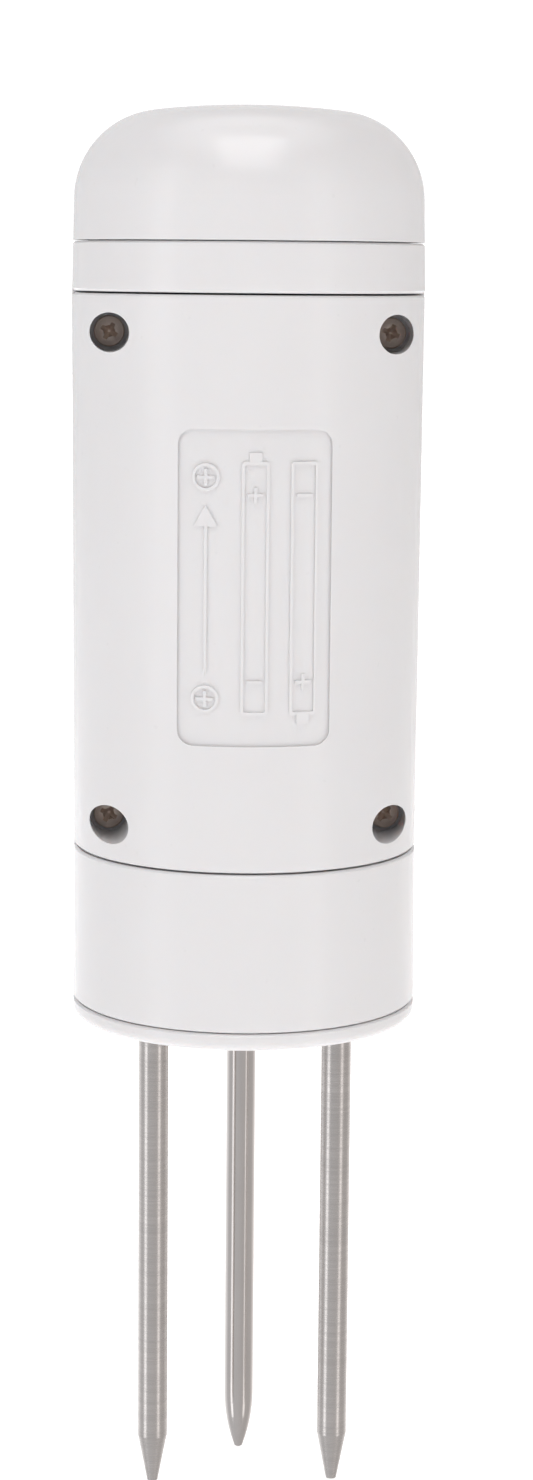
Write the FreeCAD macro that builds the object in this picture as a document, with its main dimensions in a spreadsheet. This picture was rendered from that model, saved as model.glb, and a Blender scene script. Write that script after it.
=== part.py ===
"""Soil moisture sensor: a battery-powered wireless housing on three stainless probes.

Millimetres, +Z up. The origin is the centre of the base plate's lower face, which rests on the
soil; the probes reach down from it. The battery cover and its four screws face -Y, and the
pairing button and the status light face +Y.
"""
import FreeCAD, Part
import math
import os
from types import SimpleNamespace

import Sketcher
from FreeCAD import Placement, Rotation, Vector

DIMENSIONS = [
    # the whole body
    ("body_radius", 23.0, "widest radius, at the top edge of the battery cover"),
    ("waist_radius", 22.8, "radius at the lower edge of the battery cover"),
    ("foot_radius", 22.95, "radius of the base plate and of the housing's lower edge"),
    ("collar_radius", 22.87, "radius at the joint of the housing and the top cap"),
    ("body_height", 120.0, "soil face to the top of the dome"),
    ("wall", 2.0, "thickness of the moulded walls"),
    ("bore_radius", 21.0, "inner radius of the housing"),
    ("base_joint", 2.46, "height of the joint of the base plate and the housing"),
    ("cover_low", 23.1, "lower edge of the battery opening"),
    ("cover_high", 96.2, "upper edge of the battery opening"),
    ("cap_joint", 102.6, "height of the joint of the housing and the top cap"),
    ("seam_gap", 0.25, "gap between the battery cover and the housing"),
    ("joint_gap", 0.14, "gap at the joints of the cap and the base plate"),
    ("edge_break", 0.3, "chamfer of the outer edges at the seams"),
    # top cap
    ("crown_radius", 105.0, "radius of the dome's shallow crown"),
    ("shoulder_radius", 11.4, "rounding between the crown and the side"),
    ("cap_top_radius", 22.45, "radius that the cap's drafted side would reach at the top"),
    ("spigot_radius", 20.85, "outer radius of the cap's and base plate's spigots"),
    ("spigot_bore", 19.0, "inner radius of the spigots"),
    ("spigot_depth", 4.6, "length of the spigots"),
    ("ring_groove", 19.95, "floor radius of the O-ring grooves"),
    ("ring_radius", 20.47, "centre radius of the O-rings"),
    ("ring_section", 0.5, "radius of the O-rings' section"),
    ("groove_width", 1.5, "width of the O-ring grooves"),
    ("cap_groove", 3.0, "depth of the cap's O-ring groove below its joint"),
    ("base_groove", 1.6, "height of the base plate's O-ring groove above its joint"),
    ("cap_spigot", 4.0, "length of the cap's spigot below its joint"),
    ("spigot_root", 1.5, "length of the cap's spigot inside the dome"),
    ("foot_round", 1.4, "rounding of the base plate's lower edge"),
    ("post_root", 1.0, "height in the base plate at which its posts and spigot start"),
    # inside the housing
    ("partition", 1.8, "thickness of the wall behind the battery bay"),
    ("partition_half", 22.0, "half width of that wall before the shell trims it"),
    ("guide_inner", 16.6, "distance of the board guides' inner ends from the middle"),
    ("guide_outer", 20.7, "distance of the board guides' outer ends from the middle"),
    ("guide_rib", 1.2, "thickness of a board guide"),
    ("guide_slack", 0.1, "gap between the main board and its guides"),
    ("guide_short", 3.0, "distance of the guides' upper ends below the board's shoulder"),
    ("hole_start", 12.0, "Y at which the tools for holes in the rear wall start"),
    ("hole_reach", 14.0, "length of the tools for holes in the rear wall"),
    # battery cover
    ("cover_bore", 20.8, "inner radius of the battery cover"),
    ("rim_depth", 1.8, "thickness of the cover's sealing rim"),
    ("rim_margin", 0.3, "distance of the sealing rim from the gasket and the opening"),
    ("rim_side", 0.5, "width of the sealing rim outside the gasket"),
    ("cover_gap", 0.15, "gap between the cover's long edges and the parting face"),
    ("cover_reach", 22.0, "length of the tools for holes in the cover"),
    ("low_inset", 0.03, "how far the cover's lower edge stands inside the housing's surface"),
    ("high_inset", 0.05, "how far its upper edge stands inside the housing's surface"),
    ("window_reach", 26.0, "radius at which the battery opening's flare ends"),
    ("window_flare", 3.5, "height of the flare at the opening's edges"),
    ("screw_across", 18.2, "distance of each cover screw from the middle"),
    ("screw_low", 28.05, "height of the lower cover screws"),
    ("screw_high", 91.1, "height of the upper cover screws"),
    ("tube_radius", 3.5, "outer radius of the screw tubes in the cover"),
    ("recess_radius", 2.5, "radius of the recesses that the screw heads sit in"),
    ("seat_depth", 4.4, "distance of the screw seats in front of the parting face"),
    ("shank_hole", 1.35, "clearance hole for a cover screw"),
    ("head_radius", 2.0, "radius of a cover screw's head"),
    ("head_height", 1.5, "height of a cover screw's head"),
    ("thread_radius", 1.1, "outer radius of the screw thread"),
    ("thread_core", 0.8, "root radius of the screw thread"),
    ("thread_pitch", 0.8, "pitch of the screw thread"),
    ("drive_arm", 1.3, "length of each arm of the screws' cross recess"),
    ("drive_web", 0.32, "half width of the cross recess's arms"),
    ("drive_hub", 0.8, "radius at which the cross recess's arms meet"),
    ("drive_depth", 1.45, "depth of the cross recess"),
    ("drive_floor", 0.15, "radius of the cross recess's floor"),
    ("head_edge", 0.3, "rounding of a cover screw's head"),
    ("head_crown", 0.35, "height of the domed top of the head"),
    ("crown_curve", 5.2, "radius of the head's domed top"),
    ("screw_length", 8.0, "length of a cover screw under its head"),
    ("screw_tip", 0.35, "radius of the flat on a cover screw's point"),
    ("screw_point", 0.6, "length of a cover screw's point"),
    ("boss_radius", 2.8, "radius of the screw bosses in the housing"),
    ("boss_depth", 4.7, "length of the screw bosses behind the parting face"),
    ("boss_hole", 1.15, "hole that takes a cover screw's thread"),
    ("boss_end", 0.7, "thickness of the closed end of a screw boss"),
    ("panel_half", 9.65, "half width of the recessed label panel"),
    ("panel_low", 39.6, "lower edge of the label panel"),
    ("panel_high", 79.5, "upper edge of the label panel"),
    ("panel_corner", 2.0, "corner radius of the label panel"),
    ("panel_depth", 0.35, "depth of the label panel"),
    ("art_height", 0.22, "height of the raised symbols above the panel floor"),
    ("art_line", 0.4, "line width of the raised symbols"),
    ("art_floor", 0.1, "how far the symbols run into the panel floor"),
    ("art_margin", 4.0, "distance of the symbols from the panel's ends"),
    ("art_column", 6.2, "distance between the columns of symbols"),
    ("can_mark_half", 1.75, "half width of a cell symbol"),
    ("can_mark_round", 0.5, "corner radius of a cell symbol"),
    ("can_mark_hollow", 0.25, "corner radius inside a cell symbol's outline"),
    ("tip_mark_half", 0.8, "half width of a cell symbol's tip"),
    ("tip_mark_high", 1.1, "height of a cell symbol's tip"),
    ("pole_mark_inset", 4.2, "distance of the plus and minus from a cell symbol's ends"),
    ("pole_mark_arm", 1.0, "length of each arm of the plus and minus"),
    ("screw_mark_radius", 1.75, "radius of a screw symbol"),
    ("screw_mark_arm", 1.05, "length of each arm of a screw symbol's cross"),
    ("screw_mark_inset", 2.0, "distance of a screw symbol from its column's end"),
    ("arrow_inset", 5.5, "distance of the arrow symbol from its column's ends"),
    ("arrow_half", 1.5, "half width of the arrow symbol's head"),
    ("arrow_head", 2.6, "height of the arrow symbol's head"),
    # gasket
    ("gasket_side", 21.1, "outer half width of the gasket between the screws"),
    ("gasket_neck", 15.1, "outer half width of the gasket past the screws"),
    ("gasket_width", 1.2, "width of the gasket"),
    ("gasket_depth", 0.8, "thickness of the gasket"),
    ("gasket_end", 2.0, "distance of the gasket's ends from the opening's edges"),
    ("gasket_step", 7.9, "distance of the gasket's steps from the opening's edges"),
    # probes
    ("probe_length", 64.0, "length of the probes below the soil face"),
    ("probe_radius", 2.0, "radius of the probes"),
    ("probe_across", 12.2, "distance of each moisture probe from the middle"),
    ("probe_front", -6.3, "Y of the moisture probes"),
    ("probe_back", 4.9, "Y of the temperature probe"),
    ("cone_length", 6.5, "length of the moisture probes' cone tips"),
    ("cone_end", 0.73, "radius of the flat on the cone tips"),
    ("ogive_length", 8.5, "length of the temperature probe's tip"),
    ("ogive_radius", 23.6, "radius of the tip's curved flank"),
    ("nose_radius", 0.75, "radius of the tip's rounded nose"),
    ("nose_end", 0.6, "radius at which the nose meets the flank"),
    ("neck_radius", 1.7, "radius of the probes inside the base plate"),
    ("relief_radius", 3.0, "radius of the recess round each probe in the soil face"),
    ("relief_depth", 0.8, "depth of the recess round each probe"),
    ("post_radius", 4.2, "radius of the posts that hold the probes"),
    ("post_top", 9.0, "height of the posts' top faces"),
    ("stud_radius", 1.45, "radius of the probes' threaded studs"),
    ("stud_top", 14.0, "height of the studs' ends"),
    ("stud_chamfer", 0.4, "chamfer at the studs' ends"),
    ("nose_length", 0.3, "length of the temperature probe's rounded nose"),
    ("tube_bore", 1.0, "inner radius of the temperature probe"),
    ("tube_top", 2.0, "height of the temperature probe's open end above its post"),
    ("tube_floor", 4.0, "thickness of the temperature probe's closed end"),
    ("bead_top", 9.5, "height of the thermistor's upper end above the probe's tip"),
    ("bead_length", 4.0, "length of the thermistor"),
    ("bead_radius", 0.85, "radius of the thermistor"),
    ("bead_edge", 0.3, "chamfer at the thermistor's upper end"),
    ("terminal_radius", 3.0, "radius of a ring terminal"),
    ("terminal_thick", 0.6, "thickness of a ring terminal"),
    ("terminal_gap", 0.05, "gap between a stud and its ring terminal"),
    ("tongue_half", 1.2, "half width of a ring terminal's tongue"),
    ("tongue_reach", 5.4, "length of a ring terminal's tongue from the stud"),
    ("barrel_radius", 1.1, "radius of a ring terminal's barrel"),
    ("barrel_length", 3.6, "length of a ring terminal's barrel"),
    ("barrel_reach", 8.6, "distance of the barrel's end from the stud"),
    ("barrel_height", 10.0, "height of the barrel's axis"),
    ("nut_radius", 3.1, "radius over the corners of a probe nut"),
    ("nut_height", 2.2, "thickness of a probe nut"),
    ("nut_gap", 0.02, "gap between a stud and its nut"),
    ("bead_wire", 0.6, "radius of the thermistor's lead"),
    ("probe_wire", 0.65, "radius of a moisture probe's lead"),
    # battery bay
    ("cell_radius", 7.1, "radius of an AA cell"),
    ("cell_length", 50.5, "length of an AA cell over its contact"),
    ("cell_across", 7.35, "distance of each cell from the middle"),
    ("cell_depth", 8.6, "distance of the cells' axes in front of the parting face"),
    ("bay_low", 31.1, "lower inner face of the battery tray"),
    ("bay_high", 88.1, "upper inner face of the battery tray"),
    ("tray_wall", 1.5, "thickness of the tray's walls"),
    ("tray_half", 13.3, "half width of the tray's end walls"),
    ("tray_floor", 1.4, "thickness of the tray's floor"),
    ("tray_end", 14.5, "height of the tray's end walls over the parting face"),
    ("tray_side", 9.5, "height of the tray's side walls over the parting face"),
    ("side_wall", 1.2, "thickness of the tray's side walls"),
    ("side_inset", 4.0, "distance of the side walls' ends from the end walls"),
    ("cell_slack", 0.35, "gap between a cell and the tray's side wall"),
    ("rib_half", 1.2, "half width of the rib between the cells"),
    ("rib_height", 3.8, "height of that rib over the parting face"),
    ("rib_inset", 12.0, "distance of that rib's ends from the end walls"),
    ("tray_screw_inset", 7.0, "distance of the tray's screws from the end walls"),
    ("tray_hole", 1.1, "clearance hole for a tray screw"),
    ("tray_boss", 2.4, "radius of the tray screws' bosses"),
    ("tray_boss_end", 4.4, "Y of the ends of the tray screws' bosses"),
    ("tray_thread_hole", 1.0, "hole that takes a tray screw's thread"),
    ("tray_thread", 0.95, "radius of a tray screw's thread"),
    ("tray_shank", 4.6, "length of a tray screw under its head"),
    ("tray_point", 0.6, "length of a tray screw's point"),
    ("tray_tip", 0.5, "radius of the flat on a tray screw's point"),
    ("tray_head", 1.8, "radius of a tray screw's head"),
    ("tray_head_top", 1.3, "radius of the flat on a tray screw's head"),
    ("tray_head_side", 0.8, "height of the head's side"),
    ("tray_head_high", 1.2, "height of a tray screw's head"),
    ("cell_edge", 0.5, "rounding of a cell's jacket at its ends"),
    ("cell_nub", 1.5, "height of a cell's positive contact over its shoulder"),
    ("nub_radius", 2.75, "radius of the positive contact"),
    ("nub_round", 0.3, "rounding of the positive contact"),
    ("cell_seal", 4.2, "radius of the sunken seal round the positive contact"),
    ("cell_foot", 4.8, "radius of the dish in a cell's negative end"),
    ("foot_dish", 0.1, "depth of that dish"),
    ("cell_bevel", 0.2, "width of the bevels in a cell's end faces"),
    ("contact_sheet", 0.4, "thickness of the contact plates"),
    ("plate_inner", 2.2, "distance of a contact plate's inner edge from the middle"),
    ("plate_outer", 12.4, "distance of a contact plate's outer edge from the middle"),
    ("plate_front", 13.0, "distance of a contact plate's front edge from the parting face"),
    ("plate_back", 4.0, "distance of a contact plate's back edge from the parting face"),
    ("dimple_radius", 1.6, "radius of the dimple under a cell's positive contact"),
    ("dimple_high", 0.2, "height of that dimple"),
    ("tab_across", 4.0, "distance of each contact tab from the middle"),
    ("tab_half", 1.0, "half width of a contact tab"),
    ("tab_front", 5.0, "distance of a tab's front end from the parting face"),
    ("slot_side", 0.3, "gap beside a contact tab in its slot"),
    ("slot_gap", 0.2, "gap over and under a contact tab in its slot"),
    ("spring_wire", 0.35, "radius of the contact springs' wire"),
    ("spring_radius", 3.2, "radius of the contact springs' coils"),
    ("spring_turns", 3.5, "number of the contact springs' coils"),
    ("spring_slack", 0.02, "gap at each end of a contact spring"),
    # electronics
    ("board_half", 18.0, "half width of the main board"),
    ("board_face", 5.0, "Y of the main board's front face"),
    ("board_thick", 1.6, "thickness of the main board"),
    ("board_low", 26.0, "lower edge of the main board"),
    ("board_shoulder", 97.0, "height at which the main board narrows"),
    ("board_high", 113.0, "upper edge of the main board, inside the dome"),
    ("neck_half", 13.0, "half width of the main board inside the dome"),
    ("board_corner", 2.0, "chamfer of the board's upper corners"),
    ("radio_half", 9.0, "half width of the radio module"),
    ("radio_low", 89.5, "lower edge of the radio module"),
    ("radio_high", 112.5, "upper edge of the radio module"),
    ("radio_board", 0.8, "thickness of the radio module's carrier"),
    ("can_half", 7.6, "half width of the shield can"),
    ("can_low", 91.0, "lower edge of the shield can"),
    ("can_high", 105.0, "upper edge of the shield can"),
    ("can_corner", 0.8, "corner radius of the shield can"),
    ("can_top", 2.9, "height of the shield can over the board"),
    ("plug_half", 5.5, "half width of the lead connector"),
    ("plug_high", 5.5, "height of the lead connector"),
    ("plug_depth", 4.6, "thickness of the lead connector"),
    ("plug_lift", 2.5, "distance of the lead connector from the board's lower edge"),
    ("plug_entry", 2.2, "distance of the leads behind the board"),
    ("switch_half", 3.0, "half width of the tact switch"),
    ("switch_top", 3.5, "height of the tact switch over the board"),
    ("well_radius", 1.85, "radius of the well in the tact switch"),
    ("well_floor", 2.0, "height of the well's floor over the board"),
    ("plunger_radius", 1.65, "radius of the switch's plunger"),
    ("plunger_low", 2.9, "height of the plunger's inner end over the board"),
    ("plunger_high", 4.4, "height of the plunger's outer end over the board"),
    ("led_half", 1.6, "half width of the status LED"),
    ("led_rise", 0.8, "half height of the status LED"),
    ("led_top", 1.1, "thickness of the status LED"),
    # pairing button and status light
    ("button_height", 62.0, "height of the pairing button"),
    ("button_radius", 5.0, "radius of the pairing button"),
    ("button_gap", 0.2, "gap round the pairing button"),
    ("flange_radius", 6.8, "radius of the pairing button's flange"),
    ("flange_back", 18.7, "Y of the flange's inner face"),
    ("flange_front", 19.9, "Y of the flange's outer face"),
    ("flange_gap", 0.4, "gap round the pairing button's flange"),
    ("stem_radius", 1.6, "radius of the pairing button's stem"),
    ("button_length", 5.0, "length of the pairing button before its face is trimmed"),
    ("button_sink", 0.3, "how far the button's face lies inside the body's curve"),
    ("seal_thick", 0.4, "thickness of the button's seal"),
    ("seal_gap", 0.35, "gap between the button and its seal"),
    ("tower_radius", 8.6, "outer radius of the tower that guides the pairing button"),
    ("tower_start", 16.0, "Y at which that tower starts"),
    ("tower_length", 6.0, "length of that tower before the shell trims it"),
    ("light_height", 75.0, "height of the status light"),
    ("pipe_radius", 1.5, "radius of the light pipe"),
    ("pipe_gap", 0.05, "gap round the light pipe"),
    ("pipe_start", 1.5, "distance of the light pipe's inner end from the board"),
    ("pipe_length", 18.0, "length of the light pipe before its face is trimmed"),
    ("pipe_sink", 0.12, "how far the light pipe's face lies inside the body's curve"),
    ("light_boss", 3.0, "radius of the boss that holds the light pipe"),
    ("light_boss_start", 17.0, "Y at which that boss starts"),
    ("light_boss_length", 5.0, "length of that boss before the shell trims it"),
]

ORIGIN = (0, 0, 0)
PANEL_FRONT = -24.0  # Y limits of the prisms that the label panel's outlines are cut from
PANEL_BACK = -17.0
PANEL_DEPTHS = (PANEL_FRONT, PANEL_BACK)
OVERSHOOT = 1.0  # how far a cutting tool runs past the face that it cuts
FAR = 30.0  # a distance that reaches outside the whole body
BITE = 0.5  # how far a piece runs into the piece that it is joined to
LIMIT_HALF = 20.0  # half height of the rounds that trim a face to the body's curve
LEVEL = 0.01  # height up to which an edge counts as level
THREAD_RIDGES = 7
CREST_RISE = 0.35  # height of a thread's crest over its root, as a part of the pitch
BEND_SHARE = 0.45  # part of the shorter run beside a lead's corner that its bend takes up
LEAD_TOLERANCE = 0.02  # part of its volume by which a swept lead may miss its plain sum
CHIP_BLOCKS = {  # X limits, height over the board and Z limits
    "controller_chip": ((-12.5, -5.5), 1.0, (43, 50)),
    "probe_chip": ((5.5, 10.5), 1.4, (38, 44)),
    "crystal": ((-12, -8.8), 0.9, (53, 55.5)),
}
CAPACITOR = (2.5, 5.5, 11, 52)  # radius, height over the board, X and Z
TURNS = {
    "+Z": Rotation(),
    "+Y": Rotation(Vector(1, 0, 0), -90),
    "-Y": Rotation(Vector(1, 0, 0), 90),
}

doc = FreeCAD.newDocument("SoilMoistureSensor")
sheet = doc.addObject("Spreadsheet::Sheet", "Dims")
subparts = []


class Size:
    """A number, together with the spreadsheet expression that it comes from."""

    def __init__(self, value, text=None):
        self.value = float(value)
        self.text = text or repr(self.value)

    def __add__(self, other):
        other = as_size(other)
        return Size(self.value + other.value, f"({self.text} + {other.text})")

    def __sub__(self, other):
        other = as_size(other)
        return Size(self.value - other.value, f"({self.text} - {other.text})")

    def __mul__(self, other):
        other = as_size(other)
        return Size(self.value * other.value, f"({self.text} * {other.text})")

    def __truediv__(self, other):
        other = as_size(other)
        return Size(self.value / other.value, f"({self.text} / {other.text})")

    def __radd__(self, other):
        return as_size(other) + self

    def __rsub__(self, other):
        return as_size(other) - self

    def __rmul__(self, other):
        return as_size(other) * self

    def __neg__(self):
        return self * -1


def as_size(number):
    return number if isinstance(number, Size) else Size(number)


def fill_sheet():
    """Write the driving dimensions to the spreadsheet and return them by name."""
    sizes = {}
    for row, (alias, value, meaning) in enumerate(DIMENSIONS, start=1):
        sheet.set(f"A{row}", meaning)
        sheet.set(f"B{row}", str(value))
        sheet.setAlias(f"B{row}", alias)
        sizes[alias] = Size(value, f"Dims.{alias}")
    doc.recompute()
    return SimpleNamespace(**sizes)


dim = fill_sheet()


# ---- primitives and booleans -------------------------------------------------------------


def bind(obj, sizes):
    """Bind properties of an object to their sizes."""
    for name, size in sizes.items():
        obj.setExpression(name, as_size(size).text)


def place(obj, at, axis="+Z", turn=0):
    """Put an object's own origin at a point, its own Z along an axis, turned about that."""
    obj.Placement = Placement(Vector(), TURNS[axis] * Rotation(Vector(0, 0, 1), turn))
    bind(obj, {f"Placement.Base.{letter}": size for letter, size in zip("xyz", at)})


def primitive(kind, name, sizes, at, axis="+Z"):
    obj = doc.addObject(kind, name)
    bind(obj, sizes)
    place(obj, at, axis)
    return obj


def cylinder(name, radius, height, at=ORIGIN, axis="+Z"):
    return primitive("Part::Cylinder", name, {"Radius": radius, "Height": height}, at, axis)


def cone(name, radii, height, at=ORIGIN, axis="+Z"):
    sizes = {"Radius1": radii[0], "Radius2": radii[1], "Height": height}
    return primitive("Part::Cone", name, sizes, at, axis)


def block(name, x, y, z):
    """A box given by its low and high limit on each axis."""
    sizes = {
        "Length": as_size(x[1]) - x[0],
        "Width": as_size(y[1]) - y[0],
        "Height": as_size(z[1]) - z[0],
    }
    return primitive("Part::Box", name, sizes, (x[0], y[0], z[0]))


def joined(name, pieces):
    obj = doc.addObject("Part::MultiFuse", name)
    obj.Shapes = pieces
    obj.Refine = True
    return obj


def common(name, pieces):
    obj = doc.addObject("Part::MultiCommon", name)
    obj.Shapes = pieces
    obj.Refine = True
    return obj


def cut(name, base, tools):
    obj = doc.addObject("Part::Cut", name)
    obj.Base = base
    obj.Tool = tools[0] if len(tools) == 1 else joined(name + "_tools", tools)
    obj.Refine = True
    return obj


def group(name, pieces):
    """Identical loose solids that share one node."""
    obj = doc.addObject("Part::Compound", name)
    obj.Links = pieces
    return obj


def subpart(label, obj):
    """Name an object as a piece of the real sensor."""
    obj.Label = label
    subparts.append(obj)
    return obj


def front_half(name, back):
    """Everything in front of a plane facing -Y."""
    return block(name, (-FAR, FAR), (-FAR, back), (-FAR, dim.body_height + FAR))


# ---- sketched bodies ----------------------------------------------------------------------


def new_sketch(body, name, plane_role):
    plane = next(part for part in body.Origin.OriginFeatures if part.Role == plane_role)
    sketch = body.newObject("Sketcher::SketchObject", name)
    sketch.AttachmentSupport = [(plane, "")]
    sketch.MapMode = "FlatFace"
    return sketch


def arc_between(start, finish, radius, side):
    """The minor arc from start to finish that turns to the given side, and its end numbers."""
    chord = finish - start
    normal = Vector(-chord.y, chord.x, 0).normalize()
    turn = 1 if side == "left" else -1
    rise = math.sqrt(max(radius**2 - (chord.Length / 2) ** 2, 0))
    centre = (start + finish) * 0.5 + normal * rise * turn
    circle = Part.Circle(centre, Vector(0, 0, 1), radius)
    first, last = (start, finish) if turn > 0 else (finish, start)
    angles = [math.atan2((end - centre).y, (end - centre).x) for end in (first, last)]
    return Part.ArcOfCircle(circle, *angles), (1, 2) if turn > 0 else (2, 1)


def draw_loop(sketch, outline):
    """Draw a closed outline whose corners are bound to their sizes.

    Each corner is (across, up), or (across, up, radius, side) if an arc leads to it.
    """
    corners = [(as_size(corner[0]), as_size(corner[1])) for corner in outline]
    points = [Vector(across.value, up.value, 0) for across, up in corners]
    segments = []
    for index, corner in enumerate(outline):
        start, finish = points[index - 1], points[index]
        if len(corner) == 2:
            number = sketch.addGeometry(Part.LineSegment(start, finish), False)
            segments.append((number, 1, 2))
            continue
        radius, side = as_size(corner[2]), corner[3]
        arc, ends = arc_between(start, finish, radius.value, side)
        number = sketch.addGeometry(arc, False)
        segments.append((number, *ends))
        pin_size(sketch, Sketcher.Constraint("Radius", number, radius.value), radius)
    for index, (number, _, last) in enumerate(segments):
        following, first, _ = segments[(index + 1) % len(segments)]
        sketch.addConstraint(Sketcher.Constraint("Coincident", number, last, following, first))
        for kind, size in zip(("DistanceX", "DistanceY"), corners[index]):
            constraint = Sketcher.Constraint(kind, -1, 1, number, last, size.value)
            pin_size(sketch, constraint, size)


def pin_size(sketch, constraint, size):
    """Add a constraint and bind it to its size."""
    number = sketch.addConstraint(constraint)
    sketch.setExpression(f"Constraints[{number}]", size.text)


def turned(name, outline, at=ORIGIN, axis="+Z"):
    """A body turned about its own Z from an outline of (radius, height) corners."""
    body = doc.addObject("PartDesign::Body", name)
    sketch = new_sketch(body, name + "_profile", "XZ_Plane")
    draw_loop(sketch, outline)
    revolution = body.newObject("PartDesign::Revolution", name + "_turning")
    revolution.Profile = sketch
    revolution.ReferenceAxis = (sketch, ["V_Axis"])
    revolution.Angle = 360
    body.Tip = revolution
    place(body, at, axis)
    return body


def plate(name, loops, back, front):
    """A body padded forwards, towards -Y, from outlines of (x, z) corners."""
    body = doc.addObject("PartDesign::Body", name)
    sketch = new_sketch(body, name + "_outline", "XZ_Plane")
    for loop in loops:
        draw_loop(sketch, loop)
    pad = body.newObject("PartDesign::Pad", name + "_pad")
    pad.Profile = sketch
    bind(pad, {"Length": as_size(back) - front})
    body.Tip = pad
    place(body, (0, back, 0))
    return body


def rounded(x, z, radius):
    """The outline of a rectangle with rounded corners."""
    return [
        (as_size(x[0]) + radius, z[0], radius, "left"),
        (as_size(x[1]) - radius, z[0]),
        (x[1], as_size(z[0]) + radius, radius, "left"),
        (x[1], as_size(z[1]) - radius),
        (as_size(x[1]) - radius, z[1], radius, "left"),
        (as_size(x[0]) + radius, z[1]),
        (x[0], as_size(z[1]) - radius, radius, "left"),
        (x[0], as_size(z[0]) + radius),
    ]


def routed_lead(name, route, radius):
    """A round lead whose straight runs are joined by tangent arcs."""
    points = [Vector(*point) for point in route]
    runs = [(after - before).Length for before, after in zip(points, points[1:])]
    edges = []
    start = points[0]
    for index in range(1, len(points) - 1):
        into = (points[index] - points[index - 1]).normalize()
        out = (points[index + 1] - points[index]).normalize()
        setback = BEND_SHARE * min(runs[index - 1], runs[index])
        half_turn = into.getAngle(out) / 2
        bend_radius = setback / math.tan(half_turn)
        bend_in = points[index] - into * setback
        bend_out = points[index] + out * setback
        inwards = (out - into).normalize()
        middle = points[index] + inwards * bend_radius * (1 / math.cos(half_turn) - 1)
        edges.append(Part.LineSegment(start, bend_in).toShape())
        edges.append(Part.Arc(bend_in, middle, bend_out).toShape())
        start = bend_out
    edges.append(Part.LineSegment(start, points[-1]).toShape())
    path = Part.Wire(edges)
    section = Part.Wire([Part.makeCircle(radius, points[0], points[1] - points[0])])
    feature = doc.addObject("Part::Feature", name)
    feature.Shape = path.makePipeShell([section], True, True)
    feature.Placement = Placement()
    expected = math.pi * radius**2 * path.Length
    if abs(feature.Shape.Volume / expected - 1) > LEAD_TOLERANCE:
        raise RuntimeError(f"{name}: the lead's volume is not its section times its length")
    return feature


# ---- housing ------------------------------------------------------------------------------


def housing_envelope():
    """The housing's outer form, drafted from the waist to the collar and to the foot."""
    foot = dim.base_joint + dim.joint_gap / 2
    top = dim.cap_joint - dim.joint_gap / 2
    ease = dim.edge_break
    return turned(
        "housing_envelope",
        [
            (0, foot),
            (dim.foot_radius - ease, foot),
            (dim.foot_radius, foot + ease),
            (dim.waist_radius, dim.cover_low),
            (dim.body_radius, dim.cover_high),
            (dim.collar_radius, top - ease),
            (dim.collar_radius - ease, top),
            (0, top),
        ],
    )


def battery_window():
    """The space that the battery cover fills, flared a little at its outer edges."""
    ease = dim.edge_break
    ring = turned(
        "window_ring",
        [
            (0, dim.cover_low),
            (dim.waist_radius - ease, dim.cover_low),
            (dim.window_reach, dim.cover_low - dim.window_flare),
            (dim.window_reach, dim.cover_high + dim.window_flare),
            (dim.body_radius - ease, dim.cover_high),
            (0, dim.cover_high),
        ],
    )
    return common("battery_window", [ring, front_half("window_front", 0)])


def cover_screw_places():
    for height in (dim.screw_low, dim.screw_high):
        for across in (-dim.screw_across, dim.screw_across):
            yield across, height


SCREW_TURNS = {  # how far each cover screw's cross recess has come to rest from upright
    "lower_left": 63,
    "lower_right": 52,
    "upper_left": 60,
    "upper_right": 68,
}


def partition_pieces():
    """The wall behind the battery bay and the half discs that close the bay's ends."""
    low = dim.cover_low - dim.wall
    high = dim.cover_high + dim.wall
    half = dim.partition_half
    pieces = [block("partition", (-half, half), (0, dim.partition), (low, high))]
    for name, bottom in (("lower_bulkhead", low), ("upper_bulkhead", dim.cover_high)):
        disc = cylinder(name + "_disc", dim.bore_radius + BITE, dim.wall, (0, 0, bottom))
        pieces.append(common(name, [disc, front_half(name + "_front", BITE)]))
    return pieces


def board_guides():
    """Rib pairs on the side walls that the main board slides between."""
    back_face = dim.board_face + dim.board_thick
    slack, rib = dim.guide_slack, dim.guide_rib
    z = (dim.board_low, dim.board_shoulder - dim.guide_short)
    for x in ((-dim.guide_outer, -dim.guide_inner), (dim.guide_inner, dim.guide_outer)):
        front = dim.board_face - slack
        yield block("front_guide", x, (front - rib, front), z)
        yield block("back_guide", x, (back_face + slack, back_face + slack + rib), z)


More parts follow.
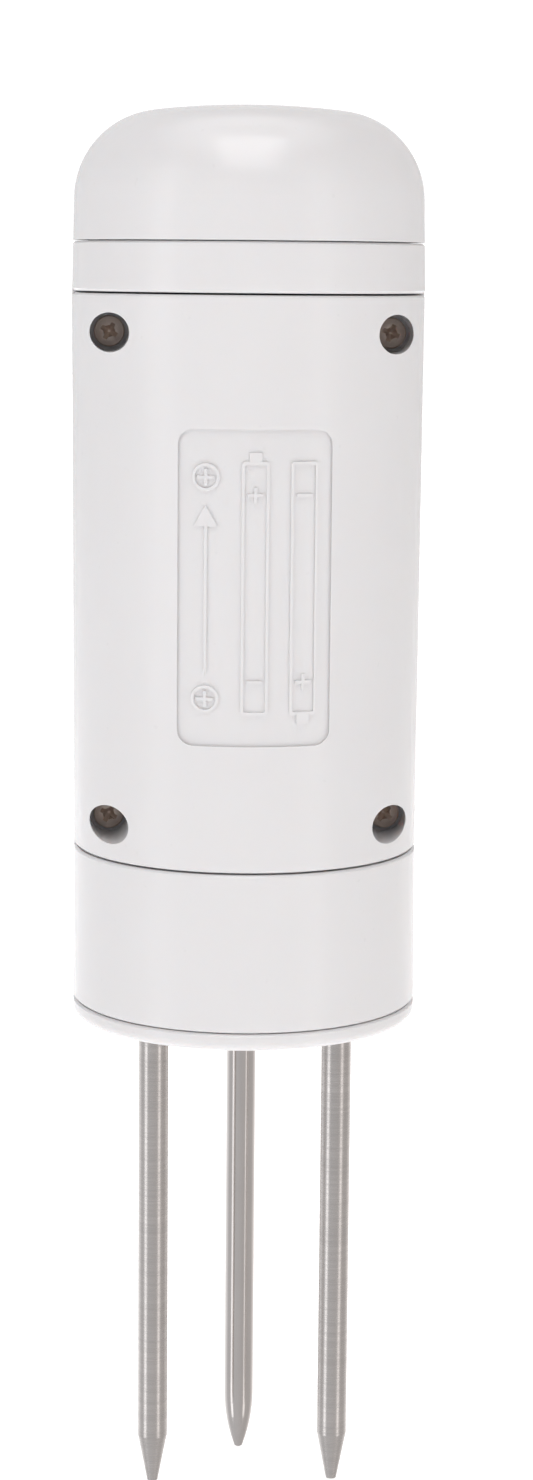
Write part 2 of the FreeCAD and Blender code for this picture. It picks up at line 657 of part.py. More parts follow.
def main_housing():
    """Collar, rear half shell and lower ring in one moulding, with the wall behind the bay."""
    envelope = housing_envelope()
    bore = cylinder("housing_bore", dim.bore_radius, dim.body_height, (0, 0, -OVERSHOOT))
    shell = cut("housing_shell", envelope, [bore])
    tower_at = (0, dim.tower_start, dim.button_height)
    button_tower = cylinder("button_tower", dim.tower_radius, dim.tower_length, tower_at, "+Y")
    boss_at = (0, dim.light_boss_start, dim.light_height)
    light_boss = cylinder("light_boss", dim.light_boss, dim.light_boss_length, boss_at, "+Y")
    inner = partition_pieces() + list(board_guides()) + [button_tower, light_boss]
    for across, height in cover_screw_places():
        inner.append(
            cylinder("screw_boss", dim.boss_radius, dim.boss_depth, (across, 0, height), "+Y")
        )
    for height in tray_screw_heights():
        inner.append(cylinder("tray_boss", dim.tray_boss, dim.tray_boss_end, (0, 0, height), "+Y"))
    trimmed = common("housing_inner", [joined("housing_inner_raw", inner), envelope])
    solid = joined("housing_solid", [shell, trimmed])
    tools = [battery_window(), gasket_frame("gasket_groove")]
    for across, height in cover_screw_places():
        depth = dim.boss_depth - dim.boss_end + OVERSHOOT
        tools.append(
            cylinder("boss_hole", dim.boss_hole, depth, (across, -OVERSHOOT, height), "+Y")
        )
    hole_depth = dim.tray_boss_end + 2 * OVERSHOOT
    for height in tray_screw_heights():
        at = (0, -OVERSHOOT, height)
        tools.append(cylinder("tray_screw_hole", dim.tray_thread_hole, hole_depth, at, "+Y"))
    button_at = (0, dim.hole_start, dim.button_height)
    hole_radius = dim.button_radius + dim.button_gap
    tools.append(cylinder("button_hole", hole_radius, dim.hole_reach, button_at, "+Y"))
    pocket_radius = dim.flange_radius + dim.flange_gap
    pocket_depth = dim.flange_front + dim.seal_thick - dim.hole_start
    tools.append(cylinder("button_pocket", pocket_radius, pocket_depth, button_at, "+Y"))
    pipe_hole = dim.pipe_radius + dim.pipe_gap
    light_at = (0, dim.hole_start, dim.light_height)
    tools.append(cylinder("light_hole", pipe_hole, dim.hole_reach, light_at, "+Y"))
    slot_depths = (-OVERSHOOT, dim.partition + OVERSHOOT)
    for side in (-1, 1):
        tools.append(contact_tab_slot("partition_slot", side, slot_depths))
    return subpart("main_housing", cut("main_housing", solid, tools))


def dome_form(name, inset, bottom):
    """The dome's outer or inner form: a shallow crown and drafted side, rounded together."""
    crown = primitive(
        "Part::Sphere",
        name + "_crown",
        {"Radius": dim.crown_radius - inset},
        (0, 0, dim.body_height - dim.crown_radius),
    )
    rise = dim.body_height - dim.cap_joint
    slope = (dim.collar_radius - dim.cap_top_radius) / rise
    low_radius = dim.collar_radius - inset + slope * (dim.cap_joint - bottom)
    side = cone(
        name + "_side",
        (low_radius, dim.cap_top_radius - inset),
        dim.body_height - bottom,
        (0, 0, bottom),
    )
    sharp = common(name + "_sharp", [crown, side])
    doc.recompute()
    rim = max(
        (edge.BoundBox.ZMin, number)
        for number, edge in enumerate(sharp.Shape.Edges, start=1)
        if edge.BoundBox.ZLength < LEVEL and edge.BoundBox.XLength > low_radius.value
    )
    rounded_form = doc.addObject("Part::Fillet", name)
    rounded_form.Base = sharp
    radius = dim.shoulder_radius.value - inset.value
    rounded_form.Edges = [(rim[1], radius, radius)]
    return rounded_form


def spigot(name, low, high, groove_low):
    """A ring that plugs into the housing's bore, with a groove for an O-ring."""
    groove_high = groove_low + dim.groove_width
    return turned(
        name,
        [
            (dim.spigot_bore, low),
            (dim.spigot_radius, low),
            (dim.spigot_radius, groove_low),
            (dim.ring_groove, groove_low),
            (dim.ring_groove, groove_high),
            (dim.spigot_radius, groove_high),
            (dim.spigot_radius, high),
            (dim.spigot_bore, high),
        ],
    )


def cap_groove_low():
    return dim.cap_joint - dim.cap_groove


def base_groove_low():
    return dim.base_joint + dim.base_groove


def top_cap():
    """The dome, hollow, with the spigot that plugs into the collar."""
    bottom = dim.cap_joint + dim.joint_gap / 2
    outer = dome_form("dome_outer", as_size(0), bottom)
    inner = dome_form("dome_inner", dim.wall, bottom - OVERSHOOT)
    shell = cut("dome_shell", outer, [inner])
    low, high = dim.cap_joint - dim.cap_spigot, dim.cap_joint + dim.spigot_root
    ring = spigot("cap_spigot", low, high, cap_groove_low())
    return subpart("top_cap", joined("top_cap", [shell, ring]))


def seal_ring(label, groove_low):
    ring = primitive(
        "Part::Torus",
        label,
        {"Radius1": dim.ring_radius, "Radius2": dim.ring_section},
        (0, 0, groove_low + dim.groove_width / 2),
    )
    return subpart(label, ring)


def base_plate():
    """The disc that closes the housing from below and holds the probes in three posts."""
    top = dim.base_joint - dim.joint_gap / 2
    foot_round, ease = dim.foot_round, dim.edge_break
    disc = turned(
        "base_disc",
        [
            (0, 0),
            (dim.foot_radius - foot_round, 0),
            (dim.foot_radius, foot_round, foot_round, "left"),
            (dim.foot_radius, top - ease),
            (dim.foot_radius - ease, top),
            (0, top),
        ],
    )
    root = dim.post_root
    pieces = [disc, spigot("base_spigot", root, top + dim.spigot_depth, base_groove_low())]
    tools = []
    hole_length = dim.post_top + 2 * OVERSHOOT
    relief_length = dim.relief_depth + OVERSHOOT
    for x, y in probe_places():
        below = (x, y, -OVERSHOOT)
        pieces.append(cylinder("probe_post", dim.post_radius, dim.post_top - root, (x, y, root)))
        tools.append(cylinder("probe_hole", dim.neck_radius, hole_length, below))
        tools.append(cylinder("probe_relief", dim.relief_radius, relief_length, below))
    return subpart("base_plate", cut("base_plate", joined("base_solid", pieces), tools))


# ---- battery cover ------------------------------------------------------------------------


def gasket_outline(inset):
    """The gasket's stepped outline, which runs inside the cover screws."""
    side = dim.gasket_side - inset
    neck = dim.gasket_neck - inset
    end = dim.gasket_end + inset
    step = dim.gasket_step + inset
    low, high = dim.cover_low + end, dim.cover_high - end
    low_step, high_step = dim.cover_low + step, dim.cover_high - step
    return [
        (-neck, low),
        (neck, low),
        (neck, low_step),
        (side, low_step),
        (side, high_step),
        (neck, high_step),
        (neck, high),
        (-neck, high),
        (-neck, high_step),
        (-side, high_step),
        (-side, low_step),
        (-neck, low_step),
    ]


def gasket_frame(name):
    loops = [gasket_outline(as_size(0)), gasket_outline(dim.gasket_width)]
    return plate(name, loops, dim.gasket_depth, 0)


def cover_gasket():
    return subpart("cover_gasket", gasket_frame("cover_gasket"))


def cover_form(name, inset):
    """The cover's outer form as a full round, made smaller by an inset."""
    low = dim.cover_low + dim.seam_gap
    high = dim.cover_high - dim.seam_gap
    ease = dim.edge_break
    low_radius = dim.waist_radius - dim.low_inset - inset
    high_radius = dim.body_radius - dim.high_inset - inset
    return turned(
        name,
        [
            (0, low),
            (low_radius - ease, low),
            (low_radius, low + ease),
            (high_radius, high - ease),
            (high_radius - ease, high),
            (0, high),
        ],
    )


def cell_symbol(name, x, z, line, plus_up):
    """A dry cell in outline, with a plus at one end and a minus at the other."""
    low, high = z
    half = dim.can_mark_half.value
    outline = rounded((x - half, x + half), (low, high), dim.can_mark_round)
    inside = (x - half + line, x + half - line)
    hollow = rounded(inside, (low + line, high - line), dim.can_mark_hollow)
    pieces = [plate(name + "_can", [outline, hollow], PANEL_BACK, PANEL_FRONT)]
    end = high if plus_up else low
    outwards = 1 if plus_up else -1
    tip = sorted((end - line / 2 * outwards, end + dim.tip_mark_high.value * outwards))
    tip_half = dim.tip_mark_half.value
    pieces.append(block(name + "_tip", (x - tip_half, x + tip_half), PANEL_DEPTHS, tip))
    inset = dim.pole_mark_inset.value * outwards
    plus = end - inset
    minus = (low if plus_up else high) + inset
    arm, bar = dim.pole_mark_arm.value, line / 2
    wide = (x - arm, x + arm)
    narrow = (x - bar, x + bar)
    pieces.append(block(name + "_plus_a", wide, PANEL_DEPTHS, (plus - bar, plus + bar)))
    pieces.append(block(name + "_plus_b", narrow, PANEL_DEPTHS, (plus - arm, plus + arm)))
    pieces.append(block(name + "_minus", wide, PANEL_DEPTHS, (minus - bar, minus + bar)))
    return pieces


def screw_symbol(name, x, z, line):
    """A cross-head screw seen from its end."""
    radius, arm = dim.screw_mark_radius.value, dim.screw_mark_arm.value
    bar = line / 2
    thick = PANEL_BACK - PANEL_FRONT
    back = PANEL_BACK + OVERSHOOT
    rim = cylinder(name + "_rim", radius, thick, (x, PANEL_BACK, z), "-Y")
    hollow = cylinder(name + "_hollow", radius - line, thick + 2 * OVERSHOOT, (x, back, z), "-Y")
    return [
        cut(name + "_ring", rim, [hollow]),
        block(name + "_slot_a", (x - arm, x + arm), PANEL_DEPTHS, (z - bar, z + bar)),
        block(name + "_slot_b", (x - bar, x + bar), PANEL_DEPTHS, (z - arm, z + arm)),
    ]


def opening_arrow(name, x, z, line):
    """An arrow that points up along the cover."""
    low, high = z
    bar, half = line / 2, dim.arrow_half.value
    neck = high - dim.arrow_head.value
    head = [(x - half, neck), (x + half, neck), (x, high)]
    return [
        block(name + "_shaft", (x - bar, x + bar), PANEL_DEPTHS, (low, neck + bar)),
        plate(name + "_head", [head], PANEL_BACK, PANEL_FRONT),
    ]


def raised_symbols():
    """Plain symbols for two opposed cells, the screws and the way the cover opens."""
    line, column = dim.art_line.value, dim.art_column.value
    low = (dim.panel_low + dim.art_margin).value
    high = (dim.panel_high - dim.art_margin).value
    pieces = cell_symbol("cell_mark_a", 0.0, (low, high), line, True)
    pieces += cell_symbol("cell_mark_b", column, (low, high), line, False)
    inset = dim.screw_mark_inset.value
    pieces += screw_symbol("screw_mark_low", -column, low + inset, line)
    pieces += screw_symbol("screw_mark_high", -column, high - inset, line)
    inset = dim.arrow_inset.value
    pieces += opening_arrow("arrow_mark", -column, (low + inset, high - inset), line)
    floor = cover_form("symbol_floor", dim.panel_depth + dim.art_floor)
    top = cover_form("symbol_top", dim.panel_depth - dim.art_height)
    skin = cut("symbol_skin", top, [floor])
    return common("raised_symbols", [joined("symbol_prisms", pieces), skin])


def battery_cover():
    """The front half shell with four screw tubes, a sealing rim and the label panel."""
    form = cover_form("cover_form", as_size(0))
    low = dim.cover_low + dim.seam_gap + dim.wall
    high = dim.cover_high - dim.seam_gap - dim.wall
    hollow = cylinder("cover_hollow", dim.cover_bore, high - low, (0, 0, low))
    half = common("cover_half", [form, front_half("cover_front", -dim.cover_gap)])
    shell = cut("cover_shell", half, [hollow])
    opening = gasket_outline(dim.gasket_width + dim.rim_margin)
    edge = dim.gasket_side + dim.rim_side
    rim_low = dim.cover_low + dim.seam_gap + dim.rim_margin
    rim_high = dim.cover_high - dim.seam_gap - dim.rim_margin
    outline = [(-edge, rim_low), (edge, rim_low), (edge, rim_high), (-edge, rim_high)]
    inner = [plate("cover_rim", [outline, opening], 0, -dim.rim_depth)]
    tools = []
    reach = dim.cover_reach
    for across, height in cover_screw_places():
        inner.append(cylinder("screw_tube", dim.tube_radius, reach, (across, 0, height), "-Y"))
        seat = (across, -dim.seat_depth, height)
        tools.append(cylinder("head_recess", dim.recess_radius, reach, seat, "-Y"))
        behind = (across, OVERSHOOT, height)
        tools.append(cylinder("shank_hole", dim.shank_hole, reach, behind, "-Y"))
    trimmed = common("cover_inner", [joined("cover_inner_raw", inner), form])
    solid = joined("cover_solid", [shell, trimmed])
    outline = rounded(
        (-dim.panel_half, dim.panel_half), (dim.panel_low, dim.panel_high), dim.panel_corner
    )
    panel = plate("panel_prism", [outline], PANEL_BACK, PANEL_FRONT)
    floor = cover_form("panel_floor", dim.panel_depth)
    tools.append(cut("panel_recess", panel, [floor]))
    plain = cut("cover_plain", solid, tools)
    return subpart("battery_cover", joined("battery_cover", [plain, raised_symbols()]))


def cross_drive(name):
    """The recess for a cross-head driver, whose arms slope down to a small floor."""
    low = dim.head_height - dim.drive_depth
    depths = (low, dim.head_height + OVERSHOOT)
    arm, web = dim.drive_arm, dim.drive_web
    arms = [
        block(name + "_arm_a", (-arm, arm), (-web, web), depths),
        block(name + "_arm_b", (-web, web), (-arm, arm), depths),
        cone(name + "_hub", (dim.drive_floor, dim.drive_hub), dim.drive_depth, (0, 0, low)),
    ]
    slope = (arm - dim.drive_floor) / dim.drive_depth
    taper = cone(
        name + "_taper",
        (dim.drive_floor, arm + slope * OVERSHOOT),
        dim.drive_depth + OVERSHOOT,
        (0, 0, low),
    )
    return common(name, [joined(name + "_arms", arms), taper])


def cover_screw(label, across, height, turn):
    """A small pan-head screw; its own Z points out of the head, and it is turned about that."""
    outline = [(0, -dim.screw_length), (dim.screw_tip, -dim.screw_length)]
    lowest = dim.screw_length - dim.screw_point
    for ridge in range(THREAD_RIDGES):
        root = lowest - dim.thread_pitch * ridge
        outline.append((dim.thread_core, -root))
        outline.append((dim.thread_radius, CREST_RISE * dim.thread_pitch - root))
    side, edge = dim.head_height - dim.head_crown, dim.head_edge
    outline += [
        (dim.thread_core, dim.thread_pitch * THREAD_RIDGES - lowest),
        (dim.thread_core, 0),
        (dim.head_radius, 0),
        (dim.head_radius, side - edge),
        (dim.head_radius - edge, side, edge, "left"),
        (0, dim.head_height, dim.crown_curve, "left"),
    ]
    screw = cut(label, turned(label + "_blank", outline), [cross_drive(label + "_drive")])
    place(screw, (across, -dim.seat_depth, height), "-Y", turn)
    return subpart(label, screw)


# ---- probes -------------------------------------------------------------------------------


def probe_places():
    return [
        (-dim.probe_across, dim.probe_front),
        (dim.probe_across, dim.probe_front),
        (0, dim.probe_back),
    ]


def moisture_probe(label, side):
    """A solid electrode: cone tip, rod, shouldered neck and threaded stud."""
    tip = -dim.probe_length
    outline = [
        (0, tip),
        (dim.cone_end, tip),
        (dim.probe_radius, tip + dim.cone_length),
        (dim.probe_radius, dim.relief_depth),
        (dim.neck_radius, dim.relief_depth),
        (dim.neck_radius, dim.post_top),
        (dim.stud_radius, dim.post_top),
        (dim.stud_radius, dim.stud_top - dim.stud_chamfer),
        (dim.stud_radius - dim.stud_chamfer, dim.stud_top),
        (0, dim.stud_top),
    ]
    at = (side * dim.probe_across, dim.probe_front, 0)
    return subpart(label, turned(label, outline, at))


def temperature_probe():
    """A tube closed by a bullet tip, which holds the thermistor."""
    tip = -dim.probe_length
    top = dim.post_top + dim.tube_top
    bore_end = tip + dim.tube_floor
    outline = [
        (0, tip),
        (dim.nose_end, tip + dim.nose_length, dim.nose_radius, "left"),
        (dim.probe_radius, tip + dim.ogive_length, dim.ogive_radius, "left"),
        (dim.probe_radius, dim.relief_depth),
        (dim.neck_radius, dim.relief_depth),
        (dim.neck_radius, top),
        (dim.tube_bore, top),
        (dim.tube_bore, bore_end),
        (0, bore_end),
    ]
    at = (0, dim.probe_back, 0)
    return subpart("temperature_probe", turned("temperature_probe", outline, at))


def thermistor_top():
    return dim.bead_top - dim.probe_length


def thermistor():
    """The glass bead near the tip of the temperature probe."""
    radius, edge = dim.bead_radius, dim.bead_edge
    top = thermistor_top()
    low = top - dim.bead_length
    outline = [
        (0, low),
        (radius, low + radius, radius, "left"),
        (radius, top - edge),
        (radius - edge, top),
        (0, top),
    ]
    return subpart("thermistor", turned("thermistor", outline, (0, dim.probe_back, 0)))


def connector_low():
    return dim.board_low + dim.plug_lift


def lead_entry(x):
    """Where a lead enters the connector's lower face."""
    return x, (board_back() + dim.plug_entry).value, connector_low().value


def thermistor_lead():
    back = dim.probe_back.value
    x, y, z = lead_entry(0)
    route = [(0, back, thermistor_top().value), (0, back, 16), (0, y, 22), (x, y, z)]
    return subpart("thermistor_lead", routed_lead("thermistor_lead", route, dim.bead_wire.value))


def barrel_end():
    return dim.probe_front + dim.barrel_reach


def probe_lead(label, side):
    """The lead from a moisture probe's ring terminal to the board's connector."""
    across = side * dim.probe_across.value
    y, z = barrel_end().value, dim.barrel_height.value
    entry = lead_entry(side * 3.0)
    route = [
        (across, y, z),
        (across, y + 5.0, z),
        (across * 0.75, entry[1] + 2.2, z + 5.0),
        (entry[0], entry[1], z + 10.0),
        entry,
    ]
    return subpart(label, routed_lead(label, route, dim.probe_wire.value))


def ring_terminal(name, side):
    """A ring terminal on a probe's stud, with its barrel towards +Y."""
    x, y = side * dim.probe_across, dim.probe_front
    low, thick = dim.post_top, dim.terminal_thick
    ring = cylinder(name + "_ring", dim.terminal_radius, thick, (x, y, low))
    width = (x - dim.tongue_half, x + dim.tongue_half)
    tongue = block(name + "_tongue", width, (y, y + dim.tongue_reach), (low, low + thick))
    start = (x, barrel_end() - dim.barrel_length, dim.barrel_height)
    barrel = cylinder(name + "_barrel", dim.barrel_radius, dim.barrel_length, start, "+Y")
    hole_radius = dim.stud_radius + dim.terminal_gap
    below = (x, y, low - OVERSHOOT)
    hole = cylinder(name + "_hole", hole_radius, thick + 2 * OVERSHOOT, below)
    return cut(name, joined(name + "_solid", [ring, tongue, barrel]), [hole])


def probe_terminals():
    pieces = [ring_terminal("left_terminal", -1), ring_terminal("right_terminal", 1)]
    return subpart("probe_terminals", group("probe_terminals", pieces))


def probe_nut(name, side):
    x, y = side * dim.probe_across, dim.probe_front
    low = dim.post_top + dim.terminal_thick
    sizes = {"Polygon": 6, "Circumradius": dim.nut_radius, "Height": dim.nut_height}
    hexagon = primitive("Part::Prism", name + "_hexagon", sizes, (x, y, low))
    hole_radius = dim.stud_radius + dim.nut_gap
    below = (x, y, low - OVERSHOOT)
    hole = cylinder(name + "_hole", hole_radius, dim.nut_height + 2 * OVERSHOOT, below)
    return cut(name, hexagon, [hole])


def probe_nuts():
    pieces = [probe_nut("left_nut", -1), probe_nut("right_nut", 1)]
    return subpart("probe_nuts", group("probe_nuts", pieces))


# ---- battery bay --------------------------------------------------------------------------


def tray_screw_heights():
    return dim.bay_low + dim.tray_screw_inset, dim.bay_high - dim.tray_screw_inset


def contact_tab_slot(name, side, y):
    """A slot that a lower contact's tab passes through."""
    x = side * dim.tab_across
    half = dim.tab_half + dim.slot_side
    z = (dim.bay_low - dim.slot_gap, dim.bay_low + dim.contact_sheet + dim.slot_gap)
    return block(name, (x - half, x + half), y, z)


def battery_tray():
    """The tray that the cells lie in: floor, end walls, side walls and a middle rib."""
    thick = dim.tray_wall
    low, high = dim.bay_low - thick, dim.bay_high + thick
    half = dim.tray_half
    floor_front = -dim.tray_floor
    wall_front = -dim.tray_end
    rib_x = (-dim.rib_half, dim.rib_half)
    rib_z = (dim.bay_low + dim.rib_inset, dim.bay_high - dim.rib_inset)
    pieces = [
        block("tray_floor", (-half, half), (floor_front, 0), (low, high)),
        block("tray_low_end", (-half, half), (wall_front, 0), (low, dim.bay_low)),
        block("tray_high_end", (-half, half), (wall_front, 0), (dim.bay_high, high)),
        block("tray_rib", rib_x, (-dim.rib_height, 0), rib_z),
    ]
    side_inner = dim.cell_across + dim.cell_radius + dim.cell_slack
    side_outer = side_inner + dim.side_wall
    side_y = (-dim.tray_side, 0)
    side_z = (dim.bay_low + dim.side_inset, dim.bay_high - dim.side_inset)
    wide = (-side_outer, side_outer)
    pieces.append(block("tray_wide_floor", wide, (floor_front, 0), side_z))
    pieces.append(block("tray_left_side", (-side_outer, -side_inner), side_y, side_z))
    pieces.append(block("tray_right_side", (side_inner, side_outer), side_y, side_z))
    slot_y = (floor_front - OVERSHOOT, OVERSHOOT)
    tools = [contact_tab_slot("tray_slot", side, slot_y) for side in (-1, 1)]
    hole_depth = dim.tray_floor + 2 * OVERSHOOT
    for height in tray_screw_heights():
        front = (0, floor_front - OVERSHOOT, height)
        tools.append(cylinder("tray_hole", dim.tray_hole, hole_depth, front, "+Y"))
    return subpart("battery_tray", cut("battery_tray", joined("tray_solid", pieces), tools))


def tray_screws():
    """Two short pan-head screws between the cells."""
    pieces = []
    for height in tray_screw_heights():
        outline = [
            (0, -dim.tray_shank),
            (dim.tray_tip, -dim.tray_shank),
            (dim.tray_thread, dim.tray_point - dim.tray_shank),
            (dim.tray_thread, 0),
            (dim.tray_head, 0),
            (dim.tray_head, dim.tray_head_side),
            (dim.tray_head_top, dim.tray_head_high),
            (0, dim.tray_head_high),
        ]
        pieces.append(turned("tray_screw", outline, (0, -dim.tray_floor, height), "-Y"))
    return subpart("tray_screws", group("tray_screws", pieces))


def cell_low(side):
    """Height of the lower end of the left (-1) or right (1) cell."""
    plates = dim.contact_sheet + dim.dimple_high
    if side < 0:
        return dim.bay_high - plates - dim.cell_length
    return dim.bay_low + plates


def aa_cell(label, side):
    """An AA cell; the left one has its positive contact up and the right one down."""
    radius, edge, bevel = dim.cell_radius, dim.cell_edge, dim.cell_bevel
    top = dim.cell_length
    shoulder = top - dim.cell_nub
    outline = [
        (0, dim.foot_dish),
        (dim.cell_foot - bevel, dim.foot_dish),
        (dim.cell_foot, 0),
        (radius - edge, 0),
        (radius, edge, edge, "left"),
        (radius, shoulder - edge),
        (radius - edge, shoulder, edge, "left"),
        (dim.cell_seal, shoulder),
        (dim.cell_seal - bevel, shoulder - bevel),
        (dim.nub_radius, shoulder - bevel),
        (dim.nub_radius, top - dim.nub_round),
        (dim.nub_radius - dim.nub_round, top, dim.nub_round, "left"),
        (0, top),
    ]
    if side > 0:
        outline = [(point[0], top - point[1], *point[2:]) for point in outline][::-1]
        outline = shifted_arcs(outline)
    at = (side * dim.cell_across, -dim.cell_depth, cell_low(side))
    return subpart(label, turned(label, outline, at))


def shifted_arcs(outline):
    """Give each arc of a reversed outline back to the corner that it now leads to."""
    arcs = [corner[2:] for corner in outline]
    return [(*corner[:2], *arcs[index - 1]) for index, corner in enumerate(outline)]


def contact_tab(name, side):
    """The part of a lower contact that reaches through the wall to the board."""
    x, half = side * dim.tab_across, dim.tab_half
    z = (dim.bay_low, dim.bay_low + dim.contact_sheet)
    return block(name, (x - half, x + half), (-dim.tab_front, dim.board_face), z)


def lower_contact_plate(name, side):
    x = (dim.plate_inner, dim.plate_outer)
    if side < 0:
        x = (-dim.plate_outer, -dim.plate_inner)
    z = (dim.bay_low, dim.bay_low + dim.contact_sheet)
    return block(name, x, (-dim.plate_front, -dim.plate_back), z)


def negative_contact():
    pieces = [lower_contact_plate("negative_plate", -1), contact_tab("negative_tab", -1)]
    return subpart("negative_contact", joined("negative_contact", pieces))


def contact_dimple(name, side, low):
    at = (side * dim.cell_across, -dim.cell_depth, low)
    return cylinder(name, dim.dimple_radius, dim.dimple_high, at)


def positive_contact():
    pieces = [
        lower_contact_plate("positive_plate", 1),
        contact_tab("positive_tab", 1),
        contact_dimple("positive_dimple", 1, dim.bay_low + dim.contact_sheet),
    ]
    return subpart("positive_contact", joined("positive_contact", pieces))


def series_bridge():
    """The plate that joins the two cells at the top of the bay."""
    low = dim.bay_high - dim.contact_sheet
    x = (-dim.plate_outer, dim.plate_outer)
    y = (-dim.plate_front, -dim.plate_back)
    pieces = [
        block("bridge_plate", x, y, (low, dim.bay_high)),
        contact_dimple("bridge_dimple", -1, low - dim.dimple_high),
    ]
    return subpart("series_bridge", joined("series_bridge", pieces))


def contact_spring(name, side):
    """A coil spring between a cell's negative end and its contact plate."""
    wire, slack, coil_radius = dim.spring_wire, dim.spring_slack, dim.spring_radius
    cell_high = cell_low(side) + dim.cell_length
    low, high = (
        (dim.bay_low + dim.contact_sheet, cell_low(side))
        if side < 0
        else (cell_high, dim.bay_high - dim.contact_sheet)
    )
    height = high - low - 2 * (wire + slack)
    x, y = side * dim.cell_across, -dim.cell_depth
    bottom = low + wire + slack
    sizes = {"Pitch": height / dim.spring_turns, "Height": height, "Radius": coil_radius}
    helix = primitive("Part::Helix", name + "_helix", sizes, (x, y, bottom))
    section = primitive(
        "Part::Circle", name + "_section", {"Radius": wire}, (x + coil_radius, y, bottom), "-Y"
    )
    coil = doc.addObject("Part::Sweep", name)
    coil.Sections = [section]
    coil.Spine = (helix, [])
    coil.Solid = True
    coil.Frenet = True
    return coil


def contact_springs():
    pieces = [contact_spring("left_spring", -1), contact_spring("right_spring", 1)]
    return subpart("contact_springs", group("contact_springs", pieces))


# ---- electronics --------------------------------------------------------------------------


def board_back():
    return dim.board_face + dim.board_thick


def main_board():
    """The circuit board, narrower where it stands inside the dome."""
    wide, narrow, corner = dim.board_half, dim.neck_half, dim.board_corner
    outline = [
        (-wide, dim.board_low),
        (wide, dim.board_low),
        (wide, dim.board_shoulder),
        (narrow, dim.board_shoulder),
        (narrow, dim.board_high - corner),
        (narrow - corner, dim.board_high),
        (corner - narrow, dim.board_high),
        (-narrow, dim.board_high - corner),
        (-narrow, dim.board_shoulder),
        (-wide, dim.board_shoulder),
    ]
    return subpart("main_board", plate("main_board", [outline], board_back(), dim.board_face))


def radio_module():
    """The radio's carrier board and its shield can; the bare top end is the antenna."""
    y = board_back()
    face = y + dim.radio_board
    width = (-dim.radio_half, dim.radio_half)
    carrier = block("radio_carrier", width, (y, face), (dim.radio_low, dim.radio_high))
    outline = rounded(
        (-dim.can_half, dim.can_half), (dim.can_low, dim.can_high), dim.can_corner
    )
    can = plate("radio_can", [outline], y + dim.can_top, face)
    return subpart("radio_module", joined("radio_module", [carrier, can]))


def board_chips():
    y = board_back()
    chips = [block(name, x, (y, y + thick), z) for name, (x, thick, z) in CHIP_BLOCKS.items()]
    radius, length, x, z = CAPACITOR
    chips.append(cylinder("storage_capacitor", radius, length, (x, y, z), "+Y"))
    return subpart("board_chips", group("board_chips", chips))


def lead_connector():
    y = board_back()
    low = connector_low()
    width = (-dim.plug_half, dim.plug_half)
    shell = block("connector_shell", width, (y, y + dim.plug_depth), (low, low + dim.plug_high))
    return subpart("lead_connector", shell)


def plunger_back():
    return board_back() + dim.plunger_low


def plunger_front():
    return board_back() + dim.plunger_high


def pair_switch():
    """A tact switch with a well for its plunger."""
    y = board_back()
    middle, half = dim.button_height, dim.switch_half
    top, floor = y + dim.switch_top, y + dim.well_floor
    case = block("switch_case", (-half, half), (y, top), (middle - half, middle + half))
    well_depth = top - floor + OVERSHOOT
    well = cylinder("switch_well", dim.well_radius, well_depth, (0, floor, middle), "+Y")
    return subpart("pair_switch", cut("pair_switch", case, [well]))


def switch_plunger():
    length = plunger_front() - plunger_back()
    at = (0, plunger_back(), dim.button_height)
    plunger = cylinder("switch_plunger", dim.plunger_radius, length, at, "+Y")
    return subpart("switch_plunger", plunger)


def body_limit(name, sink, height):
    """A round inside the body's curve that trims a face in the rear wall to that curve."""
    low = (0, 0, height - LIMIT_HALF)
    return cylinder(name, dim.body_radius - sink, 2 * LIMIT_HALF, low)


def pairing_button():
    """The push button: face, flange and stem. Its face follows the housing's curve."""
    height = dim.button_height
    start = (0, plunger_front(), height)
    stem_length = dim.flange_back - plunger_front() + BITE
    stem = cylinder("button_stem", dim.stem_radius, stem_length, start, "+Y")
    flange_at = (0, dim.flange_back, height)
    thick = dim.flange_front - dim.flange_back
    flange = cylinder("button_flange", dim.flange_radius, thick, flange_at, "+Y")
    root = (0, dim.flange_front - BITE, height)
    button_face = cylinder("button_body", dim.button_radius, dim.button_length, root, "+Y")
    limit = body_limit("button_limit", dim.button_sink, height)
    pieces = [stem, flange, common("button_face", [button_face, limit])]
    return subpart("pairing_button", joined("pairing_button", pieces))


def button_seal():
    """The soft ring that the button's flange rests against."""
    at = (0, dim.flange_front, dim.button_height)
    outer = cylinder("seal_outer", dim.flange_radius, dim.seal_thick, at, "+Y")
    front = (0, dim.flange_front - OVERSHOOT, dim.button_height)
    hole_radius = dim.button_radius + dim.seal_gap
    hole = cylinder("seal_hole", hole_radius, dim.seal_thick + 2 * OVERSHOOT, front, "+Y")
    return subpart("button_seal", cut("button_seal", outer, [hole]))


def status_led():
    y = board_back()
    x = (-dim.led_half, dim.led_half)
    z = (dim.light_height - dim.led_rise, dim.light_height + dim.led_rise)
    return subpart("status_led", block("status_led", x, (y, y + dim.led_top), z))


def light_pipe():
    """The clear rod that carries the light to the housing's surface."""
    start = (0, board_back() + dim.pipe_start, dim.light_height)
    rod = cylinder("pipe_rod", dim.pipe_radius, dim.pipe_length, start, "+Y")
    limit = body_limit("pipe_limit", dim.pipe_sink, dim.light_height)
    return subpart("light_pipe", common("light_pipe", [rod, limit]))


# ---- the whole sensor ---------------------------------------------------------------------


